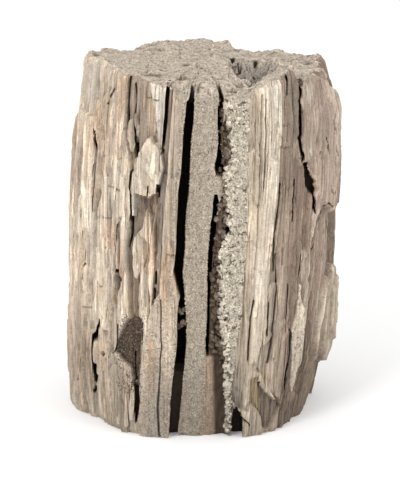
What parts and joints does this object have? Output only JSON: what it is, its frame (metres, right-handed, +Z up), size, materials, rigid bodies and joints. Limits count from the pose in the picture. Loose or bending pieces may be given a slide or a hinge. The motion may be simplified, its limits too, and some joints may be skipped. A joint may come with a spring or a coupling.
{
  "type": "petrified wood log section",
  "caption": "Upright section of a fossil log in stone, with deep lengthwise cracks, splintered bark and a rough broken top, standing on a flat foot.",
  "frame": {"origin": "middle of the foot, at the bottom of the bounding box", "axes": "+Z up along the log, -Y is the front with the two deep cracks, +X to the right seen from the front"},
  "size_m": [0.2721, 0.2631, 0.3654],
  "materials": {
    "fossil_wood": "matte, dry and grainy"
  },
  "bodies": {
    "root": {"petrified_wood": "fossil_wood"}
  },
  "joints": []
}
